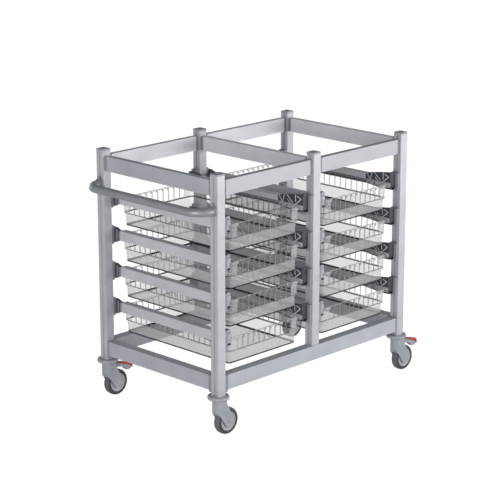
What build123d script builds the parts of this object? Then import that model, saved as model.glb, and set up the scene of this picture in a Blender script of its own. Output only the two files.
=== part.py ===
from build123d import *
import os
from math import acos, atan2, cos, sin, hypot

os.makedirs("parts", exist_ok=True)

# ---------------------------------------------------------------- driving sizes, millimetres
# Heights stack up from the floor: wheel, fork, ring, base beams, baskets, top beams.
clear_depth = 600.0          # between the front and back posts
basket_over = 20.0           # basket rim longer than the clear depth
basket_width = 410.0         # over the rim, side to side
basket_height = 112.0
levels = 4                   # baskets in each bay
level_pitch = 150.0
basket_lift = 22.0           # base beams up to the lowest basket
head_room = 173.0            # above the last level pitch, up to the cap tops

post_size = 40.0             # square post section
post_corner = 1.5
slot_mouth = 8.0             # slot opening in the two side faces of a post
slot_lip = 3.0
slot_room = 16.0             # width of the room behind the slot lips
slot_room_depth = 6.0
core_wall = 2.5              # between slot room and core
side_wall = 3.0              # front and back wall of the post
cap_height = 8.0
cap_edge = 3.0
cap_plug_depth = 12.0

beam_height = 60.0
top_beam_thick = 25.0
top_beam_drop = 28.0         # cap top down to beam top
base_beam_thick = 40.0
base_beam_lift = 19.0        # above the bumper rings
beam_wall = 2.5
connector_length = 13.0      # plate between a beam end and a post
connector_inset = 1.0        # plate edge behind the beam surface
connector_spigot = 14.0
base_connector_hang = 10.0   # the base plates reach below the beam
foot_plate = 4.0             # under each middle post

handle_diameter = 33.0
handle_wall = 2.5
handle_reach = 95.0          # post centre out to the tube centre
handle_bend = 66.0
handle_drop = 141.0          # cap tops down to the tube centre
socket_wall = 4.5
socket_length = 9.0
socket_pin_height = 11.0

basket_wall = 2.5
basket_forward = 7.5         # basket centre ahead of the frame centre
rim_overhang = 6.0
rim_drop = 13.0              # height of the turned down rim
upper_draft = 1.5            # each side, over the upper stage
step_in = 6.0                # ledge between the two stages
upper_stage = 60.0           # from the ledge up to the rim top
lower_draft = 3.0
rim_corner = 30.0
window_pitch = 30.5
window_width = 26.0
window_margin = 20.0         # plain wall between the last window and the corner bend
window_above_ledge = 4.0
window_under_flange = 3.0

runner_height = 40.0
runner_web = 25.0            # outer face to the channel wall
runner_lip = 3.0             # ledge that the basket rim rides on
runner_wall = 2.0
channel_height = 15.0        # free height over the lip
runner_short = 51.0          # back end of a runner ahead of the back post centre
bracket_thick = 14.0
bracket_height = 76.0
bracket_width = 36.0
front_cap = 4.0
wing_drop = 12.0             # dark plastic piece under the front of a runner
wing_corner = 5.0
wing_flat = 60.0
wing_length = 130.0
back_end_thick = 14.0

wheel_diameter = 108.0
tread_width = 32.0
tread_round = 9.0
hub_diameter = 78.0
hub_width = 33.6
hub_boss = 28.0
hub_edge = 1.0               # hub face behind the tread's side
axle_diameter = 8.0
axle_head = 14.0
axle_head_height = 1.5
trail = 40.0                 # axle behind the swivel centre
fork_diameter = 49.0
fork_width = 45.0
fork_boss = 23.0
fork_head = 40.0             # head top above the tread
fork_front_drop = 2.0        # front lower edge of the head under the tread's top
leg_gap = 35.0               # between the two legs
ring_diameter = 90.0
ring_thick = 18.0
ring_flat = 1.0              # height of the straight band round the rim
stem_diameter = 12.0
stem_rise = 48.0             # stem end above the ring centre, inside the post
stem_head = 20.0             # holds the fork up on the stem
stem_head_height = 3.0
stem_inset = 1.0             # head face above the head's front lower edge

pedal_reach = 32.0           # pedal tip beyond the tread
pedal_tip_drop = 36.0        # pedal heights are taken down from the head top
pedal_start_drop = 8.0
pedal_start_gap = 2.0        # pedal clear of the ring's rim, seen from above
pedal_skin = 5.0
pedal_nose = 9.0
pedal_nose_drop = 51.0
pedal_width = 30.0
pedal_round = 3.0
beak_drop = 54.0             # lowest part of the grey lever, ahead of the wheel
beak_length = 14.0
lever_play = 12.0            # lever above the tread at the first bend
lever_drop = 8.0             # room in the fork under the pressed lever
lever_bends = (1.2, 0.92)    # radians above the axle's level, where the lever clears the tread
lever_width = 22.0
pivot_out = 32.0             # lever pivot from the swivel centre
pivot_drop = 22.0
pivot_diameter = 6.0
ear_thick = 4.0
ear_radius = 7.0

# ---------------------------------------------------------------- named clearances
glide = 0.3                  # between parts that slide
side_play = 2.0              # basket rim to channel wall
lip_play = 1.5               # runner lip to basket wall
shaft_play = 0.06            # radial, round a turning shaft
wheel_play = 3.5             # fork to tread
plug_play = 0.2
swivel_gap = 1.0             # fork head under the race

# ---------------------------------------------------------------- derived places
half_post = post_size / 2
runner_outer = half_post + bracket_thick
channel_wall = runner_outer + runner_web
rim_edge = channel_wall + side_play
bay_pitch = basket_width + 2 * rim_edge
basket_length = clear_depth + basket_over
depth_pitch = clear_depth + post_size

wheel_radius = wheel_diameter / 2
fork_top = wheel_diameter + fork_head
fork_front = wheel_diameter - fork_front_drop
ring_bottom = fork_top + swivel_gap
ring_height = ring_bottom + ring_thick / 2
ring_top = ring_bottom + ring_thick
stem_top = ring_height + stem_rise
base_beam_bottom = ring_top + base_beam_lift
base_beam_top = base_beam_bottom + beam_height
basket_bottom = base_beam_top + basket_lift
frame_top = basket_bottom + levels * level_pitch + head_room
handle_height = frame_top - handle_drop
socket_diameter = handle_diameter + 2 * socket_wall
pedal_tip = trail + wheel_radius + pedal_reach
pedal_tip_top = fork_top - pedal_tip_drop
pedal_start = ring_diameter / 2 + pedal_start_gap
pedal_start_top = fork_top - pedal_start_drop
pedal_nose_bottom = fork_top - pedal_nose_drop
beak_bottom = fork_top - beak_drop
pivot_height = fork_top - pivot_drop
ledge_height = basket_height - upper_stage
window_bottom = ledge_height + window_above_ledge
window_top = basket_height - basket_wall - window_under_flange
window_height = window_top - window_bottom
handle_radius = handle_diameter / 2
overall_length = handle_reach + handle_radius + 2 * bay_pitch + pedal_tip
left_x = -overall_length / 2 + handle_reach + handle_radius
middle_x = left_x + bay_pitch
right_x = middle_x + bay_pitch
front_y = -depth_pitch / 2
back_y = depth_pitch / 2
post_xs = {"left": left_x, "middle": middle_x, "right": right_x}
post_ys = {"front": front_y, "back": back_y}
bay_xs = {"left": left_x + bay_pitch / 2, "right": middle_x + bay_pitch / 2}

post_top = frame_top - cap_height
middle_post_bottom = base_beam_top + foot_plate
top_beam_z = frame_top - top_beam_drop - beam_height / 2
base_beam_z = base_beam_bottom + beam_height / 2
core_width = post_size - 2 * (slot_lip + slot_room_depth + core_wall)
core_depth = post_size - 2 * side_wall

rim_under = basket_height - rim_drop
runner_bottom = basket_bottom + rim_under - glide - runner_lip
runner_inner = rim_edge + rim_overhang - lip_play
runner_front = front_y
runner_back = back_y - runner_short


def box_between(x0, x1, y0, y1, z0, z1, mode=Mode.ADD):
    """A block between two corners."""
    with Locations(((x0 + x1) / 2, (y0 + y1) / 2, (z0 + z1) / 2)):
        Box(abs(x1 - x0), abs(y1 - y0), abs(z1 - z0), mode=mode)


def save(part, name):
    part.label = name
    export_step(part, f"parts/{name}.step")


# ---------------------------------------------------------------- posts and their caps
def make_post(x, y, z0, z1):
    with BuildPart() as post:
        with BuildSketch(Plane.XY.offset(z0)):
            with Locations((x, y)):
                RectangleRounded(post_size, post_size, post_corner)
                Rectangle(core_width, core_depth, mode=Mode.SUBTRACT)
            for side in (-1, 1):
                with Locations((x + side * (half_post - slot_lip / 2), y)):
                    Rectangle(slot_lip, slot_mouth, mode=Mode.SUBTRACT)
                with Locations((x + side * (half_post - slot_lip - slot_room_depth / 2), y)):
                    Rectangle(slot_room_depth, slot_room, mode=Mode.SUBTRACT)
        extrude(amount=z1 - z0)
    return post.part


for depth_name, post_y in post_ys.items():
    for side_name, post_x in post_xs.items():
        post_bottom = middle_post_bottom if side_name == "middle" else ring_top
        save(make_post(post_x, post_y, post_bottom, post_top), f"post_{depth_name}_{side_name}")

post_points = [(px, py) for py in post_ys.values() for px in post_xs.values()]

with BuildPart() as post_caps:
    with Locations(*[(px, py, post_top + cap_height / 2) for px, py in post_points]):
        Box(post_size, post_size, cap_height)
    chamfer(post_caps.edges().group_by(Axis.Z)[-1], cap_edge)
    with BuildSketch(Plane.XY.offset(post_top - cap_plug_depth)):
        with Locations(*post_points):
            Rectangle(core_width - 2 * plug_play, core_depth - 2 * plug_play)
    extrude(amount=cap_plug_depth)
save(post_caps.part, "post_caps")

with BuildPart() as middle_post_feet:
    for foot_y in (front_y, back_y):
        with Locations((middle_x, foot_y, base_beam_top + foot_plate / 2)):
            Box(post_size, post_size, foot_plate)
save(middle_post_feet.part, "middle_post_feet")


# ---------------------------------------------------------------- beams
def make_beam(along, start, end, across, height_centre, thick):
    """A hollow beam from start to end along X or Y."""
    base_plane = Plane.YZ if along == "x" else Plane.XZ
    middle = (start + end) / 2
    with BuildPart() as beam:
        with BuildSketch(base_plane):
            Rectangle(thick, beam_height)
            Rectangle(thick - 2 * beam_wall, beam_height - 2 * beam_wall, mode=Mode.SUBTRACT)
        extrude(amount=(end - start) / 2, both=True)
    place = (middle, across, height_centre) if along == "x" else (across, middle, height_centre)
    return beam.part.moved(Location(place))


beam_start = half_post + connector_length
for depth_name, beam_y in post_ys.items():
    for side_name, first_x in (("left", left_x), ("right", middle_x)):
        save(make_beam("x", first_x + beam_start, first_x + bay_pitch - beam_start, beam_y,
                       top_beam_z, top_beam_thick), f"top_{depth_name}_beam_{side_name}")
    save(make_beam("x", left_x + beam_start, right_x - beam_start, beam_y,
                   base_beam_z, base_beam_thick), f"base_{depth_name}_beam")
for side_name, beam_x in post_xs.items():
    save(make_beam("y", front_y + beam_start, back_y - beam_start, beam_x,
                   top_beam_z, top_beam_thick), f"top_cross_beam_{side_name}")
    if side_name != "middle":
        save(make_beam("y", front_y + beam_start, back_y - beam_start, beam_x,
                       base_beam_z, base_beam_thick), f"base_cross_beam_{side_name}")


def connector(x, y, direction, height_centre, thick, hang):
    """The plate at one beam end, with a spigot inside the beam. Direction points into the beam."""
    dx, dy = direction
    plate_mid = half_post + connector_length / 2
    spigot_mid = beam_start + connector_spigot / 2
    plate_wide = thick - 2 * connector_inset
    plate_tall = beam_height - 2 * connector_inset + hang
    spigot_wide = thick - 2 * beam_wall - 2 * plug_play
    spigot_tall = beam_height - 2 * beam_wall - 2 * plug_play
    turn = 0 if dx else 90
    plate_place = (x + dx * plate_mid, y + dy * plate_mid, height_centre - hang / 2)
    spigot_place = (x + dx * spigot_mid, y + dy * spigot_mid, height_centre)
    with Locations(Location(plate_place, (0, 0, turn))):
        Box(connector_length, plate_wide, plate_tall)
    with Locations(Location(spigot_place, (0, 0, turn))):
        Box(connector_spigot, spigot_wide, spigot_tall)


with BuildPart() as top_connectors:
    for end_y in (front_y, back_y):
        for end_x in (left_x, middle_x):
            connector(end_x, end_y, (1, 0), top_beam_z, top_beam_thick, 0)
            connector(end_x + bay_pitch, end_y, (-1, 0), top_beam_z, top_beam_thick, 0)
    for end_x in post_xs.values():
        connector(end_x, front_y, (0, 1), top_beam_z, top_beam_thick, 0)
        connector(end_x, back_y, (0, -1), top_beam_z, top_beam_thick, 0)
save(top_connectors.part, "top_connectors")

with BuildPart() as base_connectors:
    for end_y in (front_y, back_y):
        connector(left_x, end_y, (1, 0), base_beam_z, base_beam_thick, base_connector_hang)
        connector(right_x, end_y, (-1, 0), base_beam_z, base_beam_thick, base_connector_hang)
    for end_x in (left_x, right_x):
        connector(end_x, front_y, (0, 1), base_beam_z, base_beam_thick, base_connector_hang)
        connector(end_x, back_y, (0, -1), base_beam_z, base_beam_thick, base_connector_hang)
save(base_connectors.part, "base_connectors")

# ---------------------------------------------------------------- push handle
handle_x = left_x - handle_reach
post_face_x = left_x - half_post

with BuildPart() as handle_tube:
    with BuildLine() as handle_path:
        corners = [(post_face_x, front_y, handle_height), (handle_x, front_y, handle_height),
                   (handle_x, back_y, handle_height), (post_face_x, back_y, handle_height)]
        FilletPolyline(*corners, radius=handle_bend)
    with BuildSketch(Plane(origin=corners[0], z_dir=(-1, 0, 0))):
        Circle(handle_radius)
        Circle(handle_radius - handle_wall, mode=Mode.SUBTRACT)
    sweep(path=handle_path.wires()[0])
save(handle_tube.part, "handle_tube")

with BuildPart() as handle_sockets:
    for socket_y in (front_y, back_y):
        with Locations(Location((post_face_x - socket_length / 2, socket_y, handle_height), (0, 90, 0))):
            Cylinder(socket_diameter / 2, socket_length)
            Cylinder(handle_radius + plug_play, socket_length, mode=Mode.SUBTRACT)
        pin_bottom = handle_height + (socket_diameter / 2 + handle_radius) / 2
        with Locations((post_face_x - socket_length / 2, socket_y, pin_bottom + socket_pin_height / 2)):
            Cylinder(socket_length / 2 - plug_play, socket_pin_height)
save(handle_sockets.part, "handle_sockets")


# ---------------------------------------------------------------- runners, a row at each side of a bay
def across(post_x, side, offset):
    """The X place at an offset from a post, into the bay on that side."""
    return post_x + side * offset


def runner_outline(post_x, side, bottom):
    """Rail section in XZ: a rail with a channel open towards the basket."""
    top = bottom + runner_height
    channel_bottom = bottom + runner_lip
    channel_top = channel_bottom + channel_height
    points = [(runner_outer, bottom), (runner_inner, bottom), (runner_inner, channel_bottom),
              (channel_wall, channel_bottom), (channel_wall, channel_top), (runner_inner, channel_top),
              (runner_inner, top), (runner_outer, top)]
    return [(across(post_x, side, px), pz) for px, pz in points]


def section_block(points, y0, y1, mode=Mode.ADD):
    """A block with an outline in XZ, from y0 to y1."""
    with BuildSketch(Plane.XZ.offset(-y0)) as outline:
        with BuildLine():
            Polyline(*points, close=True)
        make_face()
    extrude(outline.sketch, amount=-(y1 - y0), mode=mode)


def side_block(points, x0, x1):
    """A block with an outline in YZ, from x0 to x1."""
    with BuildSketch(Plane.YZ.offset(min(x0, x1))) as outline:
        with BuildLine():
            Polyline(*points, close=True)
        make_face()
    extrude(outline.sketch, amount=abs(x1 - x0))


def make_runner_row(post_x, side):
    with BuildPart() as row:
        for level in range(levels):
            bottom = runner_bottom + level * level_pitch
            section_block(runner_outline(post_x, side, bottom), runner_front, runner_back)
            channel_top = bottom + runner_lip + channel_height
            low_x = (across(post_x, side, runner_outer + runner_wall),
                     across(post_x, side, channel_wall - runner_wall))
            high_x = (across(post_x, side, runner_outer + runner_wall),
                      across(post_x, side, runner_inner - runner_wall))
            for xs, z0, z1 in ((low_x, bottom + runner_wall, channel_top),
                               (high_x, channel_top + runner_wall, bottom + runner_height - runner_wall)):
                room = [(xs[0], z0), (xs[1], z0), (xs[1], z1), (xs[0], z1)]
                section_block(room, runner_front, runner_back, Mode.SUBTRACT)
    return row.part


runner_rows = [("left_bay_left", left_x, 1), ("left_bay_right", middle_x, -1),
               ("right_bay_left", middle_x, 1), ("right_bay_right", right_x, -1)]
for row_name, row_x, row_side in runner_rows:
    save(make_runner_row(row_x, row_side), f"{row_name}_runners")

with BuildPart() as runner_brackets:
    for row_name, row_x, row_side in runner_rows:
        for level in range(levels):
            middle_z = runner_bottom + runner_height / 2 + level * level_pitch
            for bracket_y in (front_y, back_y):
                bracket_x = across(row_x, row_side, half_post + bracket_thick / 2)
                with Locations((bracket_x, bracket_y, middle_z)):
                    Box(bracket_thick, bracket_width, bracket_height)
save(runner_brackets.part, "runner_brackets")

with BuildPart() as runner_front_ends:
    for row_name, row_x, row_side in runner_rows:
        for level in range(levels):
            bottom = runner_bottom + level * level_pitch
            outline = runner_outline(row_x, row_side, bottom)
            section_block(outline, runner_front - front_cap, runner_front)
            wing_bottom = bottom - wing_drop
            wing_front = runner_front - front_cap
            wing = [(wing_front, bottom), (wing_front, wing_bottom + wing_corner),
                    (wing_front + wing_corner, wing_bottom), (runner_front + wing_flat, wing_bottom),
                    (runner_front + wing_length, bottom)]
            side_block(wing, across(row_x, row_side, runner_outer + runner_wall),
                       across(row_x, row_side, channel_wall))
save(runner_front_ends.part, "runner_front_ends")

with BuildPart() as runner_back_ends:
    for row_name, row_x, row_side in runner_rows:
        for level in range(levels):
            bottom = runner_bottom + level * level_pitch
            top = bottom + runner_height
            flare = (bracket_height - runner_height) / 2
            post_front = back_y - half_post
            post_back = back_y + bracket_width / 2
            outline = [(runner_back, bottom), (runner_back, top), (post_front - flare, top),
                       (post_front, top + flare), (post_back, top + flare), (post_back, bottom - flare),
                       (post_front, bottom - flare), (post_front - flare, bottom)]
            side_block(outline, across(row_x, row_side, runner_outer),
                       across(row_x, row_side, runner_outer + back_end_thick))
save(runner_back_ends.part, "runner_back_ends")


# ---------------------------------------------------------------- baskets
def tray_stage(z0, inset0, z1, inset1, mode=Mode.ADD):
    """One stage between two rounded rectangles, each inset from the rim."""
    outlines = []
    for z, inset in ((z0, inset0), (z1, inset1)):
        with BuildSketch(Plane.XY.offset(z)) as outline:
            RectangleRounded(basket_width - 2 * inset, basket_length - 2 * inset, rim_corner - inset)
        outlines.append(outline.sketch)
    loft(outlines, mode=mode)


top_inset = rim_overhang
ledge_outer = top_inset + upper_draft
ledge_inner = ledge_outer + step_in
foot_inset = ledge_inner + lower_draft
window_z = window_bottom + window_height / 2

with BuildPart() as rim:
    tray_stage(rim_under, 0, basket_height, 0)
    tray_stage(rim_under, basket_wall, basket_height - basket_wall, basket_wall, Mode.SUBTRACT)
    flange_inset = top_inset + basket_wall
    tray_stage(rim_under, flange_inset, basket_height, flange_inset, Mode.SUBTRACT)

with BuildPart() as basket:
    tray_stage(0, foot_inset, ledge_height, ledge_inner)
    tray_stage(ledge_height, ledge_outer, basket_height, top_inset)
    tray_stage(basket_wall, foot_inset + basket_wall, ledge_height + basket_wall,
               ledge_inner + basket_wall, Mode.SUBTRACT)
    tray_stage(ledge_height + basket_wall, ledge_outer + basket_wall, basket_height,
               top_inset + basket_wall, Mode.SUBTRACT)
    straight_x = basket_width - 2 * rim_corner
    straight_y = basket_length - 2 * rim_corner
    count_x = int((straight_x - 2 * window_margin) // window_pitch)
    count_y = int((straight_y - 2 * window_margin) // window_pitch)
    with Locations((0, 0, window_z)):
        with GridLocations(window_pitch, 0, count_x, 1):
            Box(window_width, basket_length, window_height, mode=Mode.SUBTRACT)
        with GridLocations(0, window_pitch, 1, count_y):
            Box(basket_width, window_width, window_height, mode=Mode.SUBTRACT)
    add(rim.part)

for bay_name, bay_x in bay_xs.items():
    for level in range(levels):
        place = Location((bay_x, -basket_forward, basket_bottom + level * level_pitch))
        save(basket.part.moved(place), f"basket_{bay_name}_{level + 1}")

# ---------------------------------------------------------------- casters
caster_points = {"front_left": (left_x, front_y), "front_right": (right_x, front_y),
                 "back_left": (left_x, back_y), "back_right": (right_x, back_y)}
braked = ("front_right", "back_left")

with BuildPart() as bumper_rings:
    with Locations(*[(cx, cy, ring_height) for cx, cy in caster_points.values()]):
        Cylinder(ring_diameter / 2, ring_thick)
    rim_edges = bumper_rings.edges().filter_by(GeomType.CIRCLE)
    fillet(rim_edges, (ring_thick - ring_flat) / 2)
    with Locations(*[(cx, cy, ring_height) for cx, cy in caster_points.values()]):
        Cylinder(stem_diameter / 2, ring_thick, mode=Mode.SUBTRACT)
save(bumper_rings.part, "bumper_rings")

stem_bottom = fork_front + stem_inset
with BuildPart() as caster_stems:
    for cx, cy in caster_points.values():
        with Locations((cx, cy, (stem_top + stem_bottom) / 2)):
            Cylinder(stem_diameter / 2, stem_top - stem_bottom)
        with Locations((cx, cy, stem_bottom + stem_head_height / 2)):
            Cylinder(stem_head / 2, stem_head_height)
save(caster_stems.part, "caster_stems")


def tangent_point(px, pz, cx, cz, radius, side):
    """Where a line from a point touches a circle, on one side of it."""
    away = hypot(px - cx, pz - cz)
    angle = atan2(pz - cz, px - cx) + side * acos(radius / away)
    return (cx + radius * cos(angle), cz + radius * sin(angle))


half_fork = fork_diameter / 2
far_out = 4 * (half_fork + trail)  # wider than any fork, for cuts that run right out
stem_bore = stem_diameter / 2 + shaft_play
well_radius = wheel_radius + wheel_play
shoulder = (half_fork, pivot_height + ear_radius)
low_touch = tangent_point(-half_fork, fork_front, trail, wheel_radius, fork_boss, 1)
high_touch = tangent_point(*shoulder, trail, wheel_radius, fork_boss, -1)


def round_bar(x, z, radius, y0, y1, mode=Mode.ADD):
    """A round bar along Y."""
    with Locations(Location((x, (y0 + y1) / 2, z), (90, 0, 0))):
        Cylinder(radius, y1 - y0, mode=mode)


def make_fork(with_brake):
    """A swivel fork with its swivel centre on the Z axis."""
    with BuildPart() as fork:
        with Locations((0, 0, (fork_top + fork_front) / 2)):
            Cylinder(half_fork, fork_top - fork_front)
        leg = [(-half_fork, fork_top), (-half_fork, fork_front), low_touch, (trail, wheel_radius),
               high_touch, shoulder, (half_fork, fork_top)]
        with BuildSketch(Plane.XZ):
            with BuildLine():
                Polyline(*leg, close=True)
            make_face()
            with Locations((trail, wheel_radius)):
                Circle(fork_boss)
        extrude(amount=fork_width / 2, both=True)
        with BuildSketch(Plane.XY):
            Rectangle(far_out, far_out)
            with Locations((trail, 0)):
                SlotCenterToCenter(2 * trail, fork_diameter, mode=Mode.SUBTRACT)
        extrude(amount=fork_top, mode=Mode.SUBTRACT)
        round_bar(trail, wheel_radius, well_radius, -leg_gap / 2, leg_gap / 2, Mode.SUBTRACT)
        with Locations((0, 0, (fork_top + fork_front) / 2)):
            Cylinder(stem_bore, fork_top - fork_front, mode=Mode.SUBTRACT)
        head_recess = stem_bottom + stem_head_height + glide
        with Locations((0, 0, head_recess / 2)):
            Cylinder(stem_head / 2 + glide, head_recess, mode=Mode.SUBTRACT)
        if with_brake:
            ear_inner = lever_width / 2 + glide
            for ear_y in (-ear_inner - ear_thick, ear_inner):
                round_bar(pivot_out, pivot_height, ear_radius, ear_y, ear_y + ear_thick)
                box_between(half_fork / 2, pivot_out, ear_y, ear_y + ear_thick,
                            pivot_height - ear_radius, pivot_height + ear_radius)
            round_bar(pivot_out, pivot_height, pivot_diameter / 2 + shaft_play,
                      -fork_width, fork_width, Mode.SUBTRACT)
            box_between(pivot_out - ear_radius - glide, far_out / 2, -ear_inner, ear_inner,
                        pivot_height - ear_radius - lever_drop, fork_top, Mode.SUBTRACT)
        round_bar(trail, wheel_radius, axle_diameter / 2, -fork_width, fork_width, Mode.SUBTRACT)
    return fork.part


with BuildPart() as axle:
    half_axle = fork_width / 2 + axle_head_height
    round_bar(trail, wheel_radius, axle_diameter / 2, -half_axle, half_axle)
    for head_y in (-half_axle, fork_width / 2):
        round_bar(trail, wheel_radius, axle_head / 2, head_y, head_y + axle_head_height)

with BuildPart() as hub:
    hub_side = tread_width / 2 - hub_edge
    round_bar(trail, wheel_radius, hub_diameter / 2, -hub_side, hub_side)
    round_bar(trail, wheel_radius, hub_boss / 2, -hub_width / 2, hub_width / 2)
    round_bar(trail, wheel_radius, axle_diameter / 2 + shaft_play, -hub_width, hub_width, Mode.SUBTRACT)

with BuildPart() as tyre:
    round_bar(trail, wheel_radius, wheel_radius, -tread_width / 2, tread_width / 2)
    fillet(tyre.edges().filter_by(GeomType.CIRCLE), tread_round)
    round_bar(trail, wheel_radius, hub_diameter / 2, -tread_width, tread_width, Mode.SUBTRACT)

slope = (pedal_tip_top - pedal_start_top) / (pedal_tip - pedal_start)


def pedal_top(x):
    """Height of the pedal's top face at a reach."""
    return pedal_start_top + slope * (x - pedal_start)


with BuildPart() as brake_pad:
    nose_x = pedal_tip - pedal_nose
    outline = [(pedal_start, pedal_top(pedal_start)), (pedal_tip, pedal_tip_top),
               (pedal_tip, pedal_nose_bottom + pedal_round), (pedal_tip - pedal_round, pedal_nose_bottom),
               (nose_x, pedal_nose_bottom), (nose_x, pedal_top(nose_x) - pedal_skin),
               (pedal_start, pedal_top(pedal_start) - pedal_skin)]
    with BuildSketch(Plane.XZ):
        with BuildLine():
            Polyline(*outline, close=True)
        make_face()
    extrude(amount=pedal_width / 2, both=True)
    fillet(brake_pad.edges().filter_by(Axis.Z), pedal_round)

with BuildPart() as brake_lever:
    lever_end = pedal_tip - pedal_nose
    beak_x = trail + wheel_radius
    over_wheel = [(trail + (wheel_radius + lever_play) * cos(angle),
                   wheel_radius + (wheel_radius + lever_play) * sin(angle)) for angle in lever_bends]
    outline = [(pivot_out, pivot_height - ear_radius), *over_wheel, (beak_x, beak_bottom),
               (beak_x + beak_length, beak_bottom), (lever_end, pedal_nose_bottom),
               (lever_end, pedal_top(lever_end) - pedal_skin),
               (pedal_start, pedal_top(pedal_start) - pedal_skin), (pivot_out, pivot_height + ear_radius)]
    with BuildSketch(Plane.XZ):
        with BuildLine():
            Polyline(*outline, close=True)
        make_face()
        with Locations((pivot_out, pivot_height)):
            Circle(ear_radius)
    extrude(amount=lever_width / 2, both=True)
    half_pin = lever_width / 2 + glide + ear_thick
    round_bar(pivot_out, pivot_height, pivot_diameter / 2, -half_pin, half_pin)

plain_fork = make_fork(False)
brake_fork = make_fork(True)
for corner, (cx, cy) in caster_points.items():
    place = Location((cx, cy, 0))
    fork = brake_fork if corner in braked else plain_fork
    save(fork.moved(place), f"fork_{corner}")
    save(axle.part.moved(place), f"axle_{corner}")
    save(hub.part.moved(place), f"hub_{corner}")
    save(tyre.part.moved(place), f"tyre_{corner}")
    if corner in braked:
        save(brake_lever.part.moved(place), f"brake_lever_{corner}")
        save(brake_pad.part.moved(place), f"brake_pad_{corner}")
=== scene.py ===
import bmesh
import bpy
import math
import numpy as np
from mathutils import Euler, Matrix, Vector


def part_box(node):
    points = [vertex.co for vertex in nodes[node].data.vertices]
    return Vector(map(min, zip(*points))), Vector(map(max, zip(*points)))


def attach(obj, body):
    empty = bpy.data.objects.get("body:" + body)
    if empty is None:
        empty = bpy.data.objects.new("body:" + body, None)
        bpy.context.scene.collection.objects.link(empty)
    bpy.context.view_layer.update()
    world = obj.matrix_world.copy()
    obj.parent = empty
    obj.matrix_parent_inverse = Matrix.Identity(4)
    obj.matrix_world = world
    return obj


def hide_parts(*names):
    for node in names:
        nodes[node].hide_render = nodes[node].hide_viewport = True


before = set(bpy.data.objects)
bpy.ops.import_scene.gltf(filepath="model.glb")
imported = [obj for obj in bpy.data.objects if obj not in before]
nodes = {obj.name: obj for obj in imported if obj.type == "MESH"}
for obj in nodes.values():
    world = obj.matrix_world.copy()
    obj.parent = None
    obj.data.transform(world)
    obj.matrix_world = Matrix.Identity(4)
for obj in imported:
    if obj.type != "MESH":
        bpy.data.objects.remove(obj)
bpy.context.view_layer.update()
mm = 0.001
print("frame loaded with", len(nodes), "nodes")


# Camera, floor and light
cameraSetup = {
    "place": (-5.2427, -5.0665, 2.5955),
    "turn": 0.7990,        # from +Y towards +X, in radians
    "tilt": 0.2701,        # below the horizon
    "lens": 132.69,
    "sensor": 36.0,
}
cameraData = bpy.data.cameras.new("camera")
cameraData.lens = cameraSetup["lens"]
cameraData.sensor_width = cameraSetup["sensor"]
cameraData.clip_end = 200.0
camera = bpy.data.objects.new("camera", cameraData)
camera.location = cameraSetup["place"]
camera.rotation_euler = Euler((math.pi / 2 - cameraSetup["tilt"], 0.0, -cameraSetup["turn"]))
bpy.context.scene.collection.objects.link(camera)
bpy.context.scene.camera = camera


def linearColour(hexText, alpha=1.0):
    # sRGB hex to linear light, channel by channel
    channels = np.array([int(hexText[i:i + 2], 16) for i in (0, 2, 4)]) / 255.0
    linear = np.where(channels <= 0.04045, channels / 12.92, ((channels + 0.055) / 1.055) ** 2.4)
    return (*[float(c) for c in linear], alpha)


def addNode(tree, kind, settings=None, inputs=None):
    # one node, with its settings and its values or links
    made = tree.nodes.new("ShaderNode" + kind)
    for key, value in (settings or {}).items():
        setattr(made, key, value)
    for key, value in (inputs or {}).items():
        if isinstance(value, bpy.types.NodeSocket):
            tree.links.new(value, made.inputs[key])
        else:
            made.inputs[key].default_value = value
    return made


def newMaterial(name):
    # an empty material and its node tree
    made = bpy.data.materials.new(name)
    made.use_nodes = True
    made.node_tree.nodes.clear()
    return made, made.node_tree


def finishMaterial(tree, shader):
    addNode(tree, "OutputMaterial", None, {"Surface": shader.outputs[0]})


studio = {
    "sky": "C9CBCE", "skyHorizon": 1.06, "skyZenith": 0.17,    # pale all round, with a dark ceiling
    "skyFar": 0.5, "farFrom": 1.4,                             # dimmer beyond the back right corner
    "floor": "FFFFFF", "floorGlow": 1.06, "floorBounce": 0.46, "floorSize": 90.0, "floorDrop": 0.6,
    "aimHeight": 0.5,
    "keyPlace": (2.7, -5.0, 1.0), "keySize": (4.4, 3.2), "keyPower": 228.0,
    "fillPlace": (-5.2, -2.4, 1.3), "fillSize": (3.2, 2.6), "fillPower": 150.0,
    "backPlace": (0.9, 5.6, 0.8), "backSize": (4.4, 2.2), "backPower": 72.0,
    "sidePlace": (5.5, -0.8, 0.8), "sideSize": (3.4, 2.2), "sidePower": 60.0,
    "clearBounces": 64,    # each basket wall takes two
}
bpy.context.scene.view_settings.view_transform = "Standard"
bpy.context.scene.cycles.transparent_max_bounces = studio["clearBounces"]
world = bpy.data.worlds.new("studioSky")
world.use_nodes = True
bpy.context.scene.world = world
tree = world.node_tree
tree.nodes.clear()
direction = addNode(tree, "SeparateXYZ", None, {0: addNode(tree, "TexCoord").outputs["Generated"]})
glow = addNode(tree, "MapRange", None, {"Value": direction.outputs["Z"], "To Min": studio["skyHorizon"],
                                        "To Max": studio["skyZenith"]})
outward = addNode(tree, "Math", {"operation": "ADD"}, {0: direction.outputs["X"], 1: direction.outputs["Y"]})
far = addNode(tree, "MapRange", None, {"Value": outward.outputs[0], "From Max": studio["farFrom"],
                                       "To Min": 1.0, "To Max": studio["skyFar"]})
dimmed = addNode(tree, "Math", {"operation": "MULTIPLY"}, {0: glow.outputs[0], 1: far.outputs[0]})
sky = addNode(tree, "Background", None, {"Color": linearColour(studio["sky"]), "Strength": dimmed.outputs[0]})
addNode(tree, "OutputWorld", None, {"Surface": sky.outputs[0]})


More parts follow.
